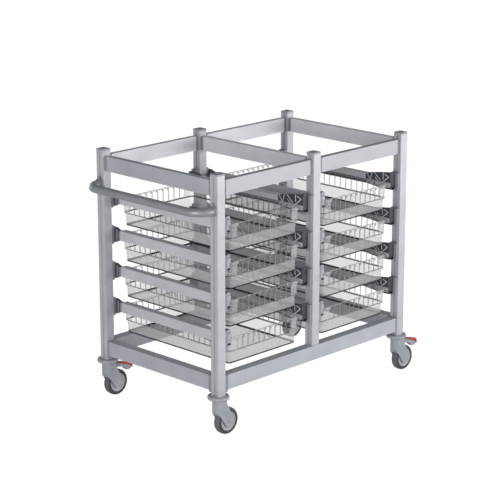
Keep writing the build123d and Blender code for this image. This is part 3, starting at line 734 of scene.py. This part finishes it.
# Front ends of the runners: a cap plate with a tab above it, and ribbed cheeks beside the rim. In each
# bay the ends nearer the push handle have a light plate, and those across from them a dark blade.
endSetup = {
    "runnerBottom": 363.7, "levelPitch": 150.0, "runnerHeight": 40.0, "lip": 3.0, "channel": 15.0,
    "outer": 34.0, "wall": 59.0, "inner": 65.5, "front": -320.0, "capThick": 4.0,
    "tabRise": 17.0, "tabRound": 13.0, "tabDepth": 26.0, "bladeRise": 27.0,
    "wingDrop": 8.0, "wingFall": 1.25, "wingCurve": 1.6, "wingLeast": 0.02, "bladeCurve": 0.6,
    "cheekLength": 130.0, "rowPitch": 1.0, "columns": 34, "edgeRound": 1.2, "edgeSink": 0.8,
    "ribHeight": 1.1, "ribHalf": 2.0,
    # a W of strokes, a short second line beside its middle, and an arrow at the front: each from one
    # distance behind the front and height above the runner to the other
    "ribStrokes": [(122, 44, 104, 18), (104, 18, 92, 55), (84, 55, 49, 25), (76, 33, 57, 16),
                   (34, 59, 34, 31), (24, 54, 4, 44), (4, 44, 40, 15)],
}


def ribCrest(distance, half):
    # 1 on a rib's crest, falling straight to 0 beside it
    return np.clip(1.5 - distance / half, 0, 1)


def ribField(y, z, setup):
    # the distance to the nearest stroke, each a straight run in the plane of the cheek
    along = y - setup["front"]
    distance = np.full(np.broadcast(along, z).shape, np.inf)
    for startY, startZ, endY, endZ in setup["ribStrokes"]:
        run = np.array([endY - startY, endZ - startZ])
        share = np.clip(((along - startY) * run[0] + (z - startZ) * run[1]) / (run @ run), 0, 1)
        awayY, awayZ = along - startY - share * run[0], z - startZ - share * run[1]
        distance = np.minimum(distance, np.hypot(awayY, awayZ))
    return ribCrest(distance, setup["ribHalf"])


def slabPoints(y, z, offset, backOffset, postX, side, bottom):
    # a grid over y and height at its own offset from the post, and a flat back behind it
    shown = np.stack([postX + side * offset * mm, np.broadcast_to(y[:, None] * mm, z.shape),
                      (bottom + z) * mm], -1)
    back = shown[:, [-1, 0]].copy()
    back[..., 0] = postX + side * backOffset * mm
    return np.concatenate([shown, back], 1)


def ribbedCheek(setup, postX, side, bottom, slab):
    # a slab whose open face rises with the rib field: its underside may hang as a curved wing, and
    # its top may rise as a blade towards the front
    y = np.arange(setup["front"] - setup["capThick"], setup["front"] + setup["cheekLength"] + 0.1,
                  setup["rowPitch"])
    fade = (y - y[0]) / (y[-1] - y[0])
    hang = np.clip(setup["wingFall"] * (1 - fade ** setup["wingCurve"]), setup["wingLeast"], 1)
    lowZ = slab["low"] - slab["hang"] * hang
    highZ = slab["high"] + slab["rise"] * (1 - fade) ** setup["bladeCurve"]
    t = np.linspace(0, 1, setup["columns"])
    z = lowZ[:, None] + (highZ - lowZ)[:, None] * t[None]
    rib = ribField(y[:, None], z, setup)
    edge = np.minimum(t, 1 - t)[None] * (highZ - lowZ)[:, None]
    rounded = np.clip(edge / setup["edgeRound"], 0, 1)
    offset = (slab["face"] - setup["ribHeight"] + setup["ribHeight"] * rib * rounded
              - setup["edgeSink"] * (1 - rounded))
    points = slabPoints(y, z, offset, slab["back"], postX, side, bottom)
    return points, tubeFaces(*points.shape[:2]), np.concatenate([rib, np.zeros((len(y), 2))], 1)


def cheekSlabs(setup, side):
    # the three slabs of an end: above the channel, inside it, and the wing that hangs under it
    ceiling = setup["lip"] + setup["channel"]
    upper = {"back": setup["inner"] - 0.5, "face": setup["inner"] + 1.4, "low": ceiling + 0.7,
             "high": setup["runnerHeight"] - 0.3, "hang": 0.0,
             "rise": setup["bladeRise"] if side < 0 else 0.0}
    channel = {"back": setup["wall"] - 0.5, "face": setup["wall"] + 1.0, "low": setup["lip"] + 0.2,
               "high": ceiling - 0.2, "hang": 0.0, "rise": 0.0}
    wing = {"back": setup["outer"] + 2.0, "face": setup["inner"] - 1.0, "low": -0.1, "high": 0.0,
            "hang": setup["wingDrop"], "rise": 0.0}
    return {"upper": upper, "channel": channel, "wing": wing}


def addRibs(piece, crest):
    # the height of the ribs at each point, from which the ribbed polyamide paints a highlight along the
    # crests
    piece.data.attributes.new("rib", "FLOAT", "POINT").data.foreach_set("value", crest.ravel())


def drawnAlongY(outline, postX, side, bottom, start, end):
    # a closed outline in offset and height above the runner, drawn from one Y to the other
    points, faces = prism(np.array(outline) * mm, start * mm, end * mm)
    return np.stack([postX + side * points[..., 0], points[..., 2], bottom * mm + points[..., 1]], -1), faces


def plateOutline(setup):
    # the runner's own section with the dropped wing under it
    outer, wall, inner, top = (setup[key] for key in ("outer", "wall", "inner", "runnerHeight"))
    lip, ceiling, drop = setup["lip"], setup["lip"] + setup["channel"], -setup["wingDrop"]
    wing = [(outer, drop + 3.0), (outer + 3.0, drop), (wall - 2.0, drop), (wall, drop + 2.0)]
    return wing + [(wall, 0.0), (inner, 0.0), (inner, lip), (wall, lip), (wall, ceiling),
                   (inner, ceiling), (inner, top), (outer, top)]


def tabOutline(setup, rise):
    # the tab that stands on the runner's end, with one round shoulder
    top = setup["runnerHeight"] + 0.1
    crown = top + rise
    shoulder = arcPoints((setup["inner"] - setup["tabRound"], crown - setup["tabRound"]),
                         setup["tabRound"], 0, 90, 8)
    return [(setup["outer"], top), (setup["inner"], top)] + shoulder + [(setup["outer"], crown)]


edgeWidths = {"plate": 0.9, "tab": 2.6, "blade": 1.0}


def edged(piece, width):
    # sharp edges rounded, with the width in millimetres
    bevel = piece.modifiers.new("edge", "BEVEL")
    bevel.width = width * mm
    bevel.segments = 2
    bevel.limit_method = "ANGLE"
    return bevel


runnerRows = (("left_bay_left", "post_front_left", 1), ("left_bay_right", "post_front_middle", -1),
              ("right_bay_left", "post_front_middle", 1), ("right_bay_right", "post_front_right", -1))
for rowName, postName, side in runnerRows:
    postX = nodeCentre(postName)[0]
    for level in range(4):
        bottom = endSetup["runnerBottom"] + level * endSetup["levelPitch"]
        for slabName, slab in cheekSlabs(endSetup, side).items():
            points, faces, crest = ribbedCheek(endSetup, postX, side, bottom, slab)
            cheek = meshPiece(f"runnerCheek_{rowName}_{level + 1}_{slabName}", points, faces, ribHighlightPlastic,
                              "frame", ("runner_front_ends",))
            addRibs(cheek, crest)
        faceY = endSetup["front"] - endSetup["capThick"]
        points, faces = drawnAlongY(plateOutline(endSetup), postX, side, bottom, faceY, endSetup["front"])
        plate = meshPiece(f"runnerPlate_{rowName}_{level + 1}", points, faces,
                          platePlastic if side > 0 else darkPlastic, "frame",
                          ("runner_front_ends",))
        edged(plate, edgeWidths["plate"])
        rise, depth = ("tabRise", "tabDepth") if side > 0 else ("bladeRise", "capThick")
        points, faces = drawnAlongY(tabOutline(endSetup, endSetup[rise]), postX, side, bottom, faceY,
                                    faceY + endSetup[depth])
        tab = meshPiece(f"runnerTab_{rowName}_{level + 1}", points, faces, darkPlastic, "frame")
        if side > 0:
            paintFaces(tab, platePlastic, faceValues(tab, "normal")[:, 1] < -0.9)
            edged(tab, edgeWidths["tab"]).material = 0    # the light face has a dark rim
        else:
            edged(tab, edgeWidths["blade"])
print("runner ends ready")


# Dark slide strips on the channel walls, which the basket rims run along; their dark colour is painted shade
# for the inside of the channel
shadedSlideSetup = {"start": -190.5, "end": 268.5, "proud": 0.6, "sunk": 0.4, "gap": 0.4}
for rowName, postName, side in runnerRows:
    postX = nodeCentre(postName)[0]
    inner, outer = endSetup["wall"] + shadedSlideSetup["proud"], endSetup["wall"] - shadedSlideSetup["sunk"]
    low = endSetup["lip"] + shadedSlideSetup["gap"]
    high = endSetup["lip"] + endSetup["channel"] - shadedSlideSetup["gap"]
    for level in range(4):
        bottom = endSetup["runnerBottom"] + level * endSetup["levelPitch"]
        points, faces = drawnAlongY([(outer, low), (inner, low), (inner, high), (outer, high)], postX, side,
                                    bottom, shadedSlideSetup["start"], shadedSlideSetup["end"])
        meshPiece(f"shadedSlideStrip_{rowName}_{level + 1}", points, faces, darkPlastic, "frame")
print("slide strips ready")


# Back ends of the runners: a cheek that flares down towards the post, with upright ribs
backSetup = {
    "start": 269.0, "end": 338.0, "thick": 14.0, "rowPitch": 1.0, "columns": 12,
    "flareFrom": 271.0, "flareTo": 298.0, "flareCurve": 1.3, "flareDown": 12.0, "flareUp": 9.0,
    "ribs": (275.0, 289.0), "ribHalf": 1.8, "ribHeight": 1.2, "edgeShare": 30.0, "edgeSink": 0.6,
}


def backCheek(setup, postX, side, bottom, height, outer):
    # the same slab, flared up and down towards the post, its face rising with upright ribs
    y = np.arange(setup["start"], setup["end"] + 0.1, setup["rowPitch"])
    flare = np.clip((y - setup["flareFrom"]) / (setup["flareTo"] - setup["flareFrom"]), 0, 1)
    flare = flare ** setup["flareCurve"]
    lowZ, highZ = -setup["flareDown"] * flare, height + setup["flareUp"] * flare
    t = np.linspace(0, 1, setup["columns"])
    z = lowZ[:, None] + (highZ - lowZ)[:, None] * t[None]
    distance = np.abs(y[:, None] - np.array(setup["ribs"])[None]).min(1)
    rounded = np.clip(np.minimum(t, 1 - t) * setup["edgeShare"], 0, 1)
    crest = ribCrest(distance, setup["ribHalf"])[:, None] * rounded[None]
    offset = outer + setup["ribHeight"] * (1 - crest) + setup["edgeSink"] * (1 - rounded)[None]
    points = slabPoints(y, z, offset, outer + setup["thick"], postX, side, bottom)
    return points, tubeFaces(*points.shape[:2]), np.concatenate([crest, np.zeros((len(y), 2))], 1)


for rowName, postName, side in runnerRows:
    postX = nodeCentre(postName)[0]
    for level in range(4):
        bottom = endSetup["runnerBottom"] + level * endSetup["levelPitch"]
        points, faces, crest = backCheek(backSetup, postX, side, bottom, endSetup["runnerHeight"],
                                         endSetup["outer"])
        cheek = meshPiece(f"runnerBackEnd_{rowName}_{level + 1}", points, faces, ribHighlightGreyPlastic, "frame",
                          ("runner_back_ends",))
        addRibs(cheek, crest)
print("back ends ready")
